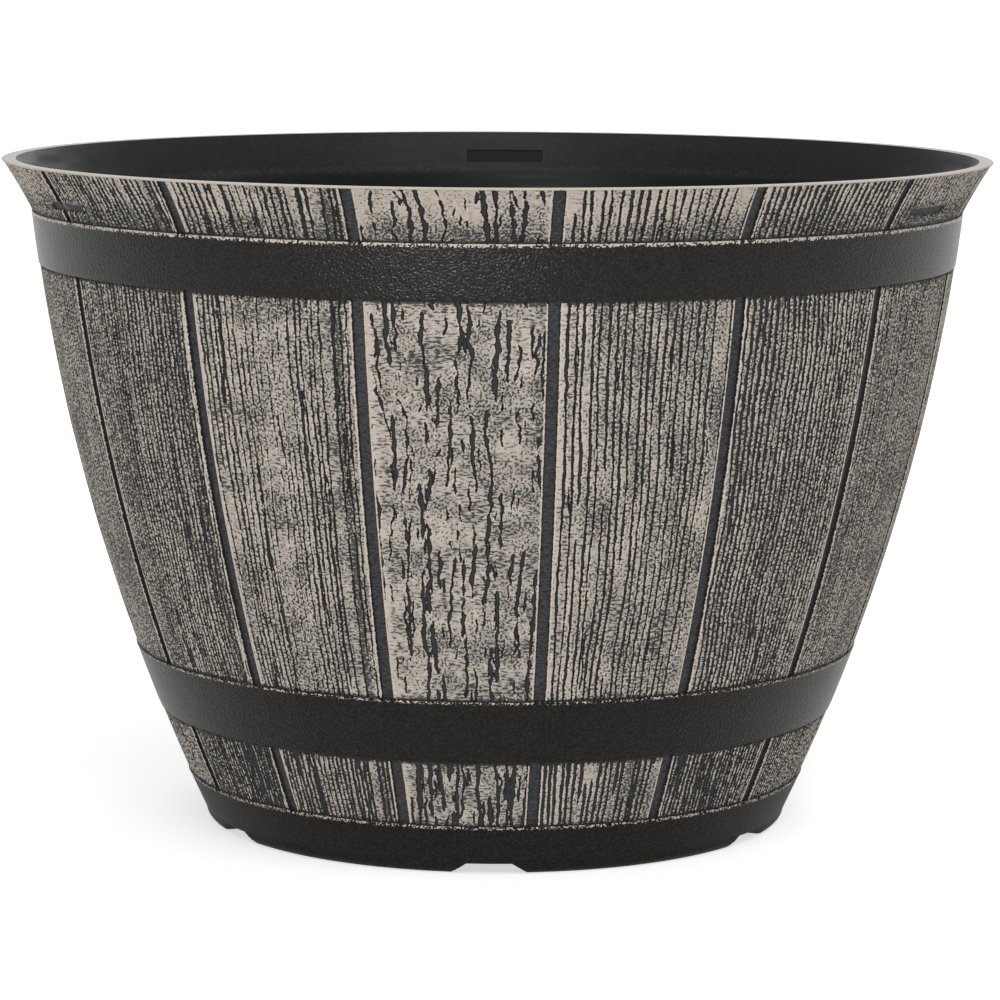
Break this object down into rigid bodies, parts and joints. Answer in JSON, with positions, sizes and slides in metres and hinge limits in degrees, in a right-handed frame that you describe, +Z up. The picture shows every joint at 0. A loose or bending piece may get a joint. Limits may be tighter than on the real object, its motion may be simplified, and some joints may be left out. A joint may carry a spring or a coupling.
{
  "type": "half-barrel planter",
  "caption": "Round half-barrel planter in moulded resin with painted stave faces, hoops, a flared rim, a notched foot and push-in drain plugs.",
  "frame": {"origin": "centre of the ground plane under the foot ring", "axes": "+Z up along the barrel's own axis, -Y towards the pictured side, +X to its right"},
  "size_m": [0.391, 0.3908, 0.264],
  "materials": {
    "charcoal_resin": "moulded charcoal resin, smooth inside and in the grooves",
    "brushed_taupe_paint": "flat taupe paint dry-brushed over moulded wood grain, charcoal resin showing in the grain",
    "hoop_resin": "warm black resin with a fine pebbled grain, low sheen",
    "plug_resin": "black moulded resin, satin"
  },
  "bodies": {
    "planter": {"planter_shell": "charcoal_resin"},
    "centre_plug": {"centre_drain_plug": "plug_resin"},
    "front_plug": {"front_drain_plug": "plug_resin"},
    "front_right_plug": {"front_right_drain_plug": "plug_resin"},
    "back_right_plug": {"back_right_drain_plug": "plug_resin"},
    "back_plug": {"back_drain_plug": "plug_resin"},
    "back_left_plug": {"back_left_drain_plug": "plug_resin"},
    "front_left_plug": {"front_left_drain_plug": "plug_resin"}
  },
  "joints": [
    {"name": "centre_plug_lift", "type": "slide", "parent": "planter", "child": "centre_plug", "axis": [0, 0, 1], "range_m": [0, 0.03]},
    {"name": "front_plug_lift", "type": "slide", "parent": "planter", "child": "front_plug", "axis": [0, 0, 1], "range_m": [0, 0.03]},
    {"name": "front_right_plug_lift", "type": "slide", "parent": "planter", "child": "front_right_plug", "axis": [0, 0, 1], "range_m": [0, 0.03]},
    {"name": "back_right_plug_lift", "type": "slide", "parent": "planter", "child": "back_right_plug", "axis": [0, 0, 1], "range_m": [0, 0.03]},
    {"name": "back_plug_lift", "type": "slide", "parent": "planter", "child": "back_plug", "axis": [0, 0, 1], "range_m": [0, 0.03]},
    {"name": "back_left_plug_lift", "type": "slide", "parent": "planter", "child": "back_left_plug", "axis": [0, 0, 1], "range_m": [0, 0.03]},
    {"name": "front_left_plug_lift", "type": "slide", "parent": "planter", "child": "front_left_plug", "axis": [0, 0, 1], "range_m": [0, 0.03]}
  ]
}
